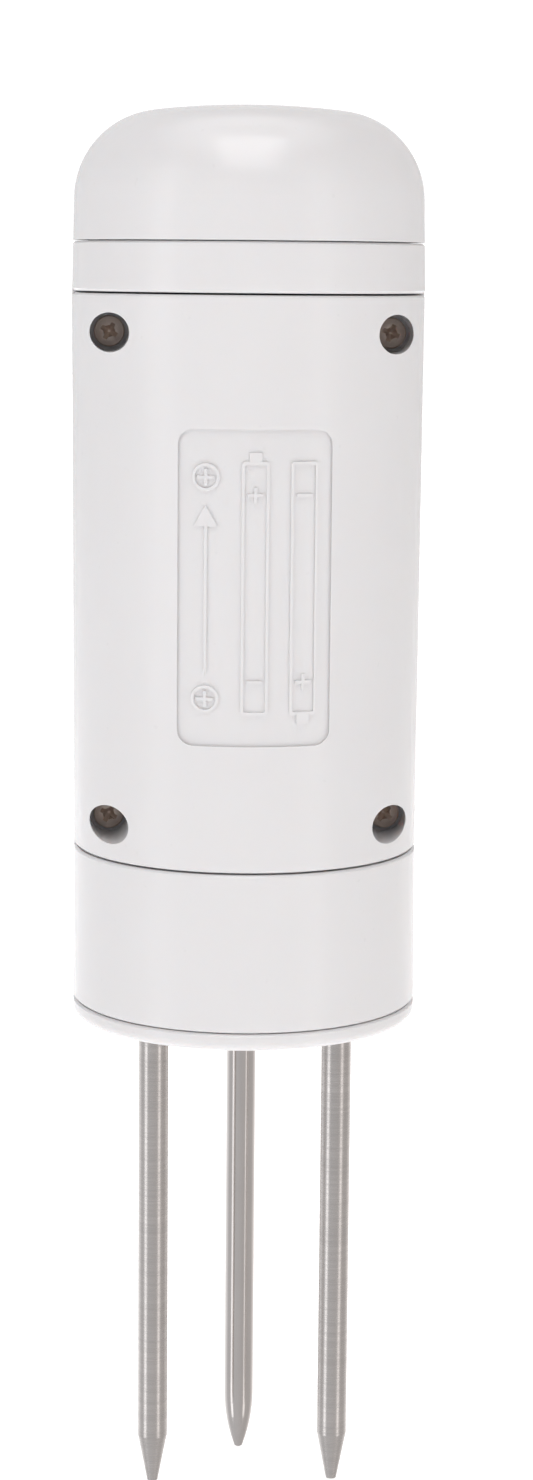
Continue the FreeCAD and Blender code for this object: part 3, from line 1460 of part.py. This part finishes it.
def build():
    main_housing()
    top_cap()
    seal_ring("cap_o_ring", cap_groove_low())
    base_plate()
    seal_ring("base_o_ring", base_groove_low())
    battery_cover()
    cover_gasket()
    for (corner, turn), (across, height) in zip(SCREW_TURNS.items(), cover_screw_places()):
        cover_screw(f"cover_screw_{corner}", across, height, turn)
    for hand, side in (("left", -1), ("right", 1)):
        moisture_probe(f"moisture_probe_{hand}", side)
        probe_lead(f"probe_lead_{hand}", side)
        aa_cell(f"aa_cell_{hand}", side)
    temperature_probe()
    thermistor()
    thermistor_lead()
    probe_terminals()
    probe_nuts()
    battery_tray()
    tray_screws()
    negative_contact()
    positive_contact()
    series_bridge()
    contact_springs()
    main_board()
    radio_module()
    board_chips()
    lead_connector()
    pair_switch()
    switch_plunger()
    pairing_button()
    button_seal()
    status_led()
    light_pipe()


def check_document():
    """Stop if any object failed or any sub-part's shape is missing or broken."""
    for obj in doc.Objects:
        if "Invalid" in obj.State or "Error" in obj.State:
            raise RuntimeError(f"{obj.Name} failed: {obj.State}")
    for obj in subparts:
        if obj.Shape.isNull() or not obj.Shape.isValid() or not obj.Shape.Solids:
            raise RuntimeError(f"{obj.Label} has no valid solid")


def export_subparts():
    os.makedirs("parts", exist_ok=True)
    for obj in subparts:
        obj.Shape.exportStep(f"parts/{obj.Label}.step")
        print(f"{obj.Label}: {len(obj.Shape.Solids)} solid(s), {obj.Shape.Volume:.1f} mm3")


build()
doc.recompute()
check_document()
export_subparts()
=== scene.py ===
"""The look of the soil moisture sensor: materials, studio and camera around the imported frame."""
import math

import bpy
from mathutils import Matrix, Vector


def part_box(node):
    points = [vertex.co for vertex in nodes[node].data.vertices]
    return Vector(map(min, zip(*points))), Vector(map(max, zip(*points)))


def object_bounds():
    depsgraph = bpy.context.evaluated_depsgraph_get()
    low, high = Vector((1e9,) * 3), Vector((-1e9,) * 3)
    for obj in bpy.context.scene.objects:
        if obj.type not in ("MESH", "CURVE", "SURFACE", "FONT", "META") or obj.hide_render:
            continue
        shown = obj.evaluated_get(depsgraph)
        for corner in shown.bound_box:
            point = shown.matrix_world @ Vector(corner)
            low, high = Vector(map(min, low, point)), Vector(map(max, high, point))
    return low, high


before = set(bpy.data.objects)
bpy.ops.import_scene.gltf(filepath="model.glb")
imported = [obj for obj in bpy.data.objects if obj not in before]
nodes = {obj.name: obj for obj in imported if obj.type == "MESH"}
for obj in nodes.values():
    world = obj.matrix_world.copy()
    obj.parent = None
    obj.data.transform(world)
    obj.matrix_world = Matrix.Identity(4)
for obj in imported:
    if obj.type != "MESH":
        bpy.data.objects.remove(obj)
cad_low, cad_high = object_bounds()


# ---- camera ---------------------------------------------------------------------------------

CAMERA_DISTANCE = 0.40033  # from the body's axis
CAMERA_HEIGHT = 0.09955
CAMERA_ASIDE = 0.00284
CAMERA_PITCH = math.radians(8.88)  # downwards
CAMERA_ROLL = math.radians(0.51)
CAMERA_TURN = math.radians(-3.09)  # round the body, towards its left
CAMERA_LENS = 73.82
SENSOR = 36.0


def add_camera():
    data = bpy.data.cameras.new("camera")
    data.lens = CAMERA_LENS
    data.sensor_width = SENSOR
    data.clip_start = 0.01
    data.clip_end = 100
    camera = bpy.data.objects.new("camera", data)
    bpy.context.scene.collection.objects.link(camera)
    forward = Vector((0, math.cos(CAMERA_PITCH), -math.sin(CAMERA_PITCH)))
    level_up = Vector((0, math.sin(CAMERA_PITCH), math.cos(CAMERA_PITCH)))
    level_right = Vector((1, 0, 0))
    cosine, sine = math.cos(CAMERA_ROLL), math.sin(CAMERA_ROLL)
    right = level_right * cosine + level_up * sine
    up = level_up * cosine - level_right * sine
    axes = Matrix((right, up, -forward)).transposed().to_4x4()
    stand = Matrix.Translation((CAMERA_ASIDE, -CAMERA_DISTANCE, CAMERA_HEIGHT))
    camera.matrix_world = Matrix.Rotation(CAMERA_TURN, 4, "Z") @ stand @ axes
    bpy.context.scene.camera = camera


# ---- node helpers ---------------------------------------------------------------------------

NOISE_SPREAD = (0.3, 0.7)  # the range that most of a noise's values fall in


def feed(tree, node, inputs):
    """Give each input a plain value or another node's output."""
    for key, value in inputs.items():
        if isinstance(value, bpy.types.NodeSocket):
            tree.links.new(value, node.inputs[key])
        else:
            node.inputs[key].default_value = value


def add(tree, kind, inputs, **settings):
    node = tree.nodes.new(kind)
    for name, value in settings.items():
        setattr(node, name, value)
    feed(tree, node, inputs)
    return node


def math_node(tree, operation, *values):
    return add(tree, "ShaderNodeMath", dict(enumerate(values)), operation=operation).outputs[0]


def product(tree, first, second):
    return math_node(tree, "MULTIPLY", first, second)


def ramp(tree, value, source, target):
    """Map a value from the source range to the target range, held at the ends."""
    inputs = {
        "Value": value,
        "From Min": source[0],
        "From Max": source[1],
        "To Min": target[0],
        "To Max": target[1],
    }
    return add(tree, "ShaderNodeMapRange", inputs).outputs[0]


def mixed(tree, factor, first, second):
    """Mix two colours, each an (r, g, b) or another node's output."""
    sides = [
        side if isinstance(side, bpy.types.NodeSocket) else (*side, 1)
        for side in (first, second)
    ]
    inputs = {0: factor, 6: sides[0], 7: sides[1]}  # 6 and 7 are the two colour sockets
    return add(tree, "ShaderNodeMix", inputs, data_type="RGBA").outputs[2]


def object_place(tree):
    return add(tree, "ShaderNodeTexCoord", {}).outputs["Object"]


def position(tree, scale=(1, 1, 1)):
    """The place on the object, stretched along each axis."""
    inputs = {"Vector": object_place(tree), "Scale": scale}
    return add(tree, "ShaderNodeMapping", inputs).outputs[0]


def place_parts(tree):
    return add(tree, "ShaderNodeSeparateXYZ", {0: object_place(tree)}).outputs


def noise(tree, scale, detail=3.0, stretch=(1, 1, 1), roughness=0.55):
    inputs = {
        "Vector": position(tree, stretch),
        "Scale": scale,
        "Detail": detail,
        "Roughness": roughness,
    }
    return add(tree, "ShaderNodeTexNoise", inputs).outputs["Fac"]


def mottle(tree, scale, detail, target=(0, 1)):
    """Noise spread over a range of values."""
    return ramp(tree, noise(tree, scale, detail), NOISE_SPREAD, target)


def bump(tree, height, distance, under=None):
    inputs = {"Height": height, "Distance": distance, "Strength": 1.0}
    if under is not None:
        inputs["Normal"] = under
    return add(tree, "ShaderNodeBump", inputs).outputs[0]


def new_material(name):
    material = bpy.data.materials.new(name)
    material.use_nodes = True
    return material, material.node_tree, material.node_tree.nodes["Principled BSDF"]


def shaded(colour, amount):
    return tuple(min(1.0, part * amount) for part in colour)


# ---- materials ------------------------------------------------------------------------------

WHITE = (0.704, 0.694, 0.7)
STEEL = (0.705, 0.67, 0.65)
NICKEL = (0.70, 0.68, 0.64)
GLOW = 0.2  # how far the white shells let light in under their surface
GLOW_REACH = 0.0015
SPECK_LEVELS = (0.74, 0.8)  # noise values at which a speck of dust fades in
EVEN_GRAIN = (900, 900, 900)
MARK_DISTANCE = 0.000003  # usual depth of a metal's machining marks
TRACK_EDGE = (0.05, 0.07)
PAD_EDGE = (0.12, 0.14)
TIN = (0.62, 0.6, 0.55)
EDGE_WIDTH = 0.0001  # over which a printed or plated edge fades


def moulded_plastic(name, colour, roughness, specks=0.06, glow=0.0):
    """Moulded plastic: faintly wavy, finely grained, unevenly glossy, with a few dark specks."""
    material, tree, shader = new_material(name)
    grain = noise(tree, 2600, 2)
    tone = mixed(tree, mottle(tree, 35, 2), shaded(colour, 0.985), colour)
    spots = ramp(tree, noise(tree, 900, 1), SPECK_LEVELS, (0, specks))
    wavy = bump(tree, noise(tree, 90, 1), 0.000012)
    looks = {
        "Base Color": mixed(tree, spots, tone, shaded(colour, 0.45)),
        "Roughness": mottle(tree, 140, 4, (roughness - 0.03, roughness + 0.05)),
        "Normal": bump(tree, grain, 0.0000022, wavy),
        "IOR": 1.5,
        "Subsurface Weight": glow,
        "Subsurface Radius": (1.0, 0.7, 0.55),
        "Subsurface Scale": GLOW_REACH,
    }
    feed(tree, shader, looks)
    return material


def drawn_steel(name, colour, roughness, marks, depth=MARK_DISTANCE, streaks=0.12):
    """Bright metal with machining marks; the marks' stretch sets their direction."""
    material, tree, shader = new_material(name)
    lines = noise(tree, 1.0, 4, marks, 0.65)
    patches = ramp(tree, noise(tree, 160, 3), (0.35, 0.75), (0, 0.25))
    drawn = ramp(tree, lines, NOISE_SPREAD, (0, 1))
    tone = mixed(tree, drawn, shaded(colour, 1 - streaks), colour)
    looks = {
        "Base Color": mixed(tree, patches, tone, shaded(colour, 0.82)),
        "Roughness": ramp(tree, lines, NOISE_SPREAD, (roughness + 0.06, roughness - 0.03)),
        "Metallic": 1.0,
        "Normal": bump(tree, lines, depth),
    }
    feed(tree, shader, looks)
    return material


def soft_rubber(name, colour):
    material, tree, shader = new_material(name)
    looks = {
        "Base Color": mixed(tree, mottle(tree, 400, 4), shaded(colour, 0.8), colour),
        "Roughness": mottle(tree, 700, 2, (0.55, 0.75)),
        "Normal": bump(tree, noise(tree, 2200, 2), 0.000008),
    }
    feed(tree, shader, looks)
    return material


def clear_plastic(name, colour, roughness):
    material, tree, shader = new_material(name)
    looks = {
        "Base Color": mixed(tree, mottle(tree, 300, 2), shaded(colour, 0.93), colour),
        "Roughness": mottle(tree, 500, 2, (roughness, roughness + 0.08)),
        "Transmission Weight": 0.7,
        "IOR": 1.49,
        "Normal": bump(tree, noise(tree, 1500, 1), 0.000002),
    }
    feed(tree, shader, looks)
    return material


def cellular(tree, scale, randomness, **settings):
    """Distances in a pattern of cells over the board's flat faces."""
    inputs = {"Vector": position(tree, (1, 0, 1)), "Scale": scale, "Randomness": randomness}
    return add(tree, "ShaderNodeTexVoronoi", inputs, **settings).outputs["Distance"]


def board_laminate(name, mask, tracks):
    """Solder mask over copper tracks, with tinned pads."""
    material, tree, shader = new_material(name)
    cells = cellular(tree, 260, 0.35, feature="DISTANCE_TO_EDGE", distance="CHEBYCHEV")
    line = ramp(tree, cells, TRACK_EDGE, (1, 0))
    pad = ramp(tree, cellular(tree, 210, 0.55), PAD_EDGE, (1, 0))
    tone = mixed(tree, pad, mixed(tree, line, mask, tracks), TIN)
    looks = {
        "Base Color": mixed(tree, mottle(tree, 900, 3, (0, 0.2)), tone, shaded(mask, 0.7)),
        "Metallic": pad,
        "Roughness": ramp(tree, pad, (0, 1), (0.3, 0.22)),
        "Normal": bump(tree, math_node(tree, "MAXIMUM", line, pad), 0.00003),
    }
    feed(tree, shader, looks)
    return material


def inside(tree, value, low, high, soft=0.00003):
    """1 where a value lies between two limits, with a soft edge."""
    above = ramp(tree, value, (low - soft, low + soft), (0, 1))
    below = ramp(tree, value, (high - soft, high + soft), (1, 0))
    return product(tree, above, below)


def about(tree, value, middle, half):
    return inside(tree, value, middle - half, middle + half)


def past(tree, value, level):
    return ramp(tree, value, (level, level + EDGE_WIDTH), (0, 1))


def short_of(tree, value, level):
    return ramp(tree, value, (level, level + EDGE_WIDTH), (1, 0))


CELL_GREEN = (0.02, 0.17, 0.12)
CELL_PALE = (0.72, 0.74, 0.72)
CELL_INK = (0.03, 0.035, 0.035)
CELL_METAL = (0.66, 0.65, 0.62)
BAND_DEPTHS = (0.0145, 0.0035)  # limits of the pale band under the positive end
STRIPE_DEPTHS = (0.0162, 0.0153)
PLUS_DEPTH = 0.009
MINUS_HEIGHT = 0.006  # over the negative end
SIGN_ARM = 0.0016  # half length of the plus's and minus's bars
SIGN_BAR = 0.0004  # half width of the same
POSITIVE_RADIUS = 0.0042
POSITIVE_DEPTH = 0.0022
NEGATIVE_RADIUS = 0.0052
NEGATIVE_HEIGHT = 0.0002


def cell_jacket(name, node, plus_up):
    """A shrink-wrapped cell: green jacket, pale band at the positive end, plus and minus."""
    low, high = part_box(node)
    axis_x = (low.x + high.x) / 2
    axis_y = (low.y + high.y) / 2
    length = high.z - low.z
    material, tree, shader = new_material(name)
    x, y, z = place_parts(tree)
    if plus_up:
        along = math_node(tree, "SUBTRACT", z, low.z)
    else:
        along = math_node(tree, "SUBTRACT", high.z, z)
    across = math_node(tree, "SUBTRACT", x, axis_x)
    aside = math_node(tree, "SUBTRACT", y, axis_y)
    squares = math_node(tree, "ADD", product(tree, across, across), product(tree, aside, aside))
    out = math_node(tree, "SQRT", squares)

    tone = mixed(tree, mottle(tree, 260, 3), shaded(CELL_GREEN, 0.85), CELL_GREEN)
    for near, far in (BAND_DEPTHS, STRIPE_DEPTHS):
        tone = mixed(tree, inside(tree, along, length - near, length - far), tone, CELL_PALE)
    long_bar = about(tree, across, 0, SIGN_ARM)
    thin_bar = about(tree, across, 0, SIGN_BAR)
    plus_at = length - PLUS_DEPTH
    level_part = product(tree, long_bar, about(tree, along, plus_at, SIGN_BAR))
    upright_part = product(tree, thin_bar, about(tree, along, plus_at, SIGN_ARM))
    tone = mixed(tree, math_node(tree, "MAXIMUM", level_part, upright_part), tone, CELL_INK)
    minus = product(tree, long_bar, about(tree, along, MINUS_HEIGHT, SIGN_BAR))
    tone = mixed(tree, minus, tone, CELL_PALE)

    top = product(
        tree,
        short_of(tree, out, POSITIVE_RADIUS),
        past(tree, along, length - POSITIVE_DEPTH),
    )
    bottom = product(
        tree,
        short_of(tree, out, NEGATIVE_RADIUS),
        short_of(tree, along, NEGATIVE_HEIGHT),
    )
    metal = math_node(tree, "MAXIMUM", top, bottom)
    looks = {
        "Base Color": mixed(tree, metal, tone, CELL_METAL),
        "Metallic": metal,
        "Roughness": mottle(tree, 300, 3, (0.22, 0.34)),
        "Normal": bump(tree, noise(tree, 180, 2), 0.00002),
    }
    feed(tree, shader, looks)
    return material


def two_part(name, level, first, second, roughness):
    """A board part in two finishes, parted at a level along Y; the outer one is metal."""
    material, tree, shader = new_material(name)
    soft = EDGE_WIDTH / 10
    share = ramp(tree, place_parts(tree)[1], (level - soft, level + soft), (0, 1))
    tone = mixed(tree, share, first, second)
    dark = mixed(tree, share, shaded(first, 0.8), shaded(second, 0.85))
    looks = {
        "Base Color": mixed(tree, mottle(tree, 800, 4, (0.85, 1.0)), dark, tone),
        "Metallic": share,
        "Roughness": ramp(tree, share, (0, 1), roughness),
        "Normal": bump(tree, noise(tree, 1500, 3), 0.000006),
    }
    feed(tree, shader, looks)
    return material


def paint(material, *names):
    for name in names:
        slots = nodes[name].data.materials
        slots.clear()
        slots.append(material)


def paint_shells():
    housing = moulded_plastic("white_housing", WHITE, 0.2, glow=GLOW)
    paint(housing, "main_housing", "top_cap", "base_plate")
    paint(moulded_plastic("white_cover", WHITE, 0.2, glow=GLOW), "battery_cover")
    paint(moulded_plastic("grey_button", (0.33, 0.335, 0.34), 0.42), "pairing_button")
    paint(clear_plastic("clear_pipe", (0.93, 0.95, 0.96), 0.08), "light_pipe")
    paint(soft_rubber("seal_black", (0.028, 0.028, 0.03)), "cap_o_ring", "base_o_ring")
    paint(soft_rubber("gasket_grey", (0.16, 0.16, 0.165)), "cover_gasket", "button_seal")


def paint_metals():
    screws = [name for name in nodes if name.startswith("cover_screw_")]
    screw_metal = drawn_steel("dark_nickel", (0.7, 0.6, 0.53), 0.42, EVEN_GRAIN, 0.000004)
    paint(screw_metal, *screws)
    rods = drawn_steel("turned_steel", STEEL, 0.25, (40, 40, 2400), 0.0000025)
    paint(rods, "moisture_probe_left", "moisture_probe_right")
    tube = drawn_steel("polished_tube", STEEL, 0.14, (900, 900, 25), 0.0000008, 0.08)
    paint(tube, "temperature_probe")
    paint(drawn_steel("small_screw_zinc", NICKEL, 0.28, EVEN_GRAIN), "tray_screws")
    sheet_metal = drawn_steel("plated_sheet", NICKEL, 0.25, (120, 1800, 1800))
    paint(sheet_metal, "negative_contact", "positive_contact", "series_bridge")
    paint(drawn_steel("spring_wire", NICKEL, 0.22, (700, 700, 700)), "contact_springs")
    brass = drawn_steel("tinned_brass", (0.74, 0.66, 0.45), 0.3, EVEN_GRAIN)
    paint(brass, "probe_terminals")
    nuts = drawn_steel("nut_steel", NICKEL, 0.3, (300, 300, 1800), 0.000004)
    paint(nuts, "probe_nuts")


def paint_inside():
    paint(moulded_plastic("natural_tray", (0.62, 0.62, 0.6), 0.45), "battery_tray")
    paint(moulded_plastic("connector_nylon", (0.66, 0.64, 0.58), 0.4), "lead_connector")
    paint(moulded_plastic("plunger_plastic", (0.03, 0.03, 0.032), 0.45), "switch_plunger")
    paint(clear_plastic("led_lens_resin", (0.9, 0.93, 0.85), 0.15), "status_led")
    paint(clear_plastic("bead_glass_look", (0.75, 0.5, 0.3), 0.1), "thermistor")
    black_lead = moulded_plastic("lead_black", (0.035, 0.035, 0.037), 0.5)
    paint(black_lead, "probe_lead_left", "thermistor_lead")
    paint(moulded_plastic("lead_red", (0.42, 0.03, 0.025), 0.5), "probe_lead_right")
    paint(cell_jacket("cell_jacket_left", "aa_cell_left", True), "aa_cell_left")
    paint(cell_jacket("cell_jacket_right", "aa_cell_right", False), "aa_cell_right")


def paint_board():
    laminate = board_laminate("green_laminate", (0.01, 0.11, 0.045), (0.02, 0.2, 0.08))
    paint(laminate, "main_board")
    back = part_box("main_board")[1].y
    green, black, case = (0.01, 0.1, 0.045), (0.02, 0.02, 0.022), (0.03, 0.03, 0.03)
    pale = (0.6, 0.6, 0.6)
    paint(two_part("shield_can_tin", back + 0.0008, green, NICKEL, (0.35, 0.25)), "radio_module")
    paint(two_part("chip_epoxy", back + 0.0019, black, pale, (0.5, 0.3)), "board_chips")
    switch = two_part("switch_case_black", back + 0.0033, case, NICKEL, (0.5, 0.25))
    paint(switch, "pair_switch")


# ---- studio ---------------------------------------------------------------------------------

FLOOR_REACH = 4.2
FLOOR_DROP = 0.0002  # of the floor under the probes' tips
FLOOR_GLOW = 0.64
DOME_RADIUS = 6.0
DOME_GLOW = 1.1
DOME_RINGS = 24
DOME_STEPS = 48
LIGHT_CENTRE = Vector((0, 0, 0.06))  # the point that the soft boxes face
LIGHT_DISTANCE = 1.0
SIDE_EDGES = (-0.6, 0.8)  # X directions between which the room turns warmer
REAR_EDGES = (0.2, 1.0)  # Y directions between which the room turns brighter
REAR_STRENGTHS = (0.34, 0.78)
OVERHEAD_EDGES = (0.78, 0.94)  # Z directions between which the ceiling starts
OVERHEAD_GAIN = 4.5
UNDER_EDGES = (-0.2, -0.05)  # Z directions between which the light mirrored from below ends
UNDER_GAIN = 1.75


def add_mesh(name, points, faces):
    mesh = bpy.data.meshes.new(name)
    mesh.from_pydata(points, [], faces)
    piece = bpy.data.objects.new(name, mesh)
    bpy.context.scene.collection.objects.link(piece)
    return piece


def add_floor():
    """Pale paper under the probes' tips, kept out of the metal's reflections."""
    level = cad_low.z - FLOOR_DROP
    corners = [
        (-FLOOR_REACH, -FLOOR_REACH, level),
        (FLOOR_REACH, -FLOOR_REACH, level),
        (FLOOR_REACH, FLOOR_REACH, level),
        (-FLOOR_REACH, FLOOR_REACH, level),
    ]
    floor = add_mesh("floor", corners, [(0, 1, 2, 3)])
    material, tree, shader = new_material("floor_paper")
    looks = {
        "Base Color": mixed(tree, noise(tree, 30, 3), (0.93, 0.93, 0.93), (0.95, 0.95, 0.95)),
        "Roughness": 0.9,
        "Specular IOR Level": 0.1,
        "Emission Color": (1, 1, 1, 1),
        "Emission Strength": FLOOR_GLOW,
    }
    feed(tree, shader, looks)
    floor.data.materials.append(material)
    floor.visible_glossy = False


def dome_point(ring, step):
    rise = ring * math.pi / DOME_RINGS - math.pi / 2
    around = step * 2 * math.pi / DOME_STEPS
    return (
        DOME_RADIUS * math.cos(rise) * math.cos(around),
        DOME_RADIUS * math.cos(rise) * math.sin(around),
        DOME_RADIUS * math.sin(rise),
    )


def dome_face(ring, step):
    following = (step + 1) % DOME_STEPS
    low, high = ring * DOME_STEPS, (ring + 1) * DOME_STEPS
    return low + step, low + following, high + following, high + step


def add_backdrop():
    """A white dome that only the camera sees, so that the ground behind is plain white."""
    steps = range(DOME_STEPS)
    points = [dome_point(ring, step) for ring in range(DOME_RINGS + 1) for step in steps]
    faces = [dome_face(ring, step) for ring in range(DOME_RINGS) for step in steps]
    dome = add_mesh("backdrop", points, faces)
    material, tree, shader = new_material("backdrop_white")
    looks = {
        "Base Color": (0, 0, 0, 1),
        "Emission Color": (1, 1, 1, 1),
        "Emission Strength": DOME_GLOW,
    }
    feed(tree, shader, looks)
    dome.data.materials.append(material)
    dome.visible_diffuse = False
    dome.visible_glossy = False
    dome.visible_transmission = False
    dome.visible_shadow = False


def add_softbox(name, azimuth, elevation, size, radiance, colour):
    """A rectangular soft light that faces the body; the azimuth runs from -Y towards +X."""
    around, up = math.radians(azimuth), math.radians(elevation)
    level = math.cos(up)
    towards = Vector((math.sin(around) * level, -math.cos(around) * level, math.sin(up)))
    data = bpy.data.lights.new(name, "AREA")
    data.shape = "RECTANGLE"
    data.size, data.size_y = size
    data.energy = radiance * math.pi * size[0] * size[1]
    data.color = colour
    light = bpy.data.objects.new(name, data)
    bpy.context.scene.collection.objects.link(light)
    light.location = LIGHT_CENTRE + towards * LIGHT_DISTANCE
    light.rotation_mode = "QUATERNION"
    light.rotation_quaternion = (-towards).to_track_quat("-Z", "Y")


def add_world():
    """A room that is brighter behind the sensor and overhead, and dimmer in front of it."""
    world = bpy.data.worlds.new("studio")
    bpy.context.scene.world = world
    world.use_nodes = True
    tree = world.node_tree
    towards = add(tree, "ShaderNodeTexCoord", {}).outputs["Generated"]
    x, y, z = add(tree, "ShaderNodeSeparateXYZ", {0: towards}).outputs
    side = ramp(tree, x, SIDE_EDGES, (0, 1))
    level = ramp(tree, y, REAR_EDGES, REAR_STRENGTHS)
    overhead = ramp(tree, z, OVERHEAD_EDGES, (1.0, OVERHEAD_GAIN))
    underneath = ramp(tree, z, UNDER_EDGES, (UNDER_GAIN, 1.0))
    light = {
        "Color": mixed(tree, side, (1.03, 1.03, 1.045), (0.93, 0.9, 0.885)),
        "Strength": product(tree, product(tree, level, overhead), underneath),
    }
    feed(tree, tree.nodes["Background"], light)


def add_lights():
    add_softbox("left_box", -60, 0, (0.34, 1.7), 0.95, (0.98, 0.985, 1.0))
    add_softbox("right_box", 45, 0, (0.3, 1.7), 0.74, (1.0, 0.97, 0.955))
    add_softbox("top_box", -3, 61, (0.56, 0.8), 2.5, (1.0, 0.985, 0.98))


bpy.context.scene.view_settings.view_transform = "Standard"
add_camera()
add_world()
add_floor()
add_backdrop()
add_lights()
paint_shells()
paint_metals()
paint_inside()
paint_board()
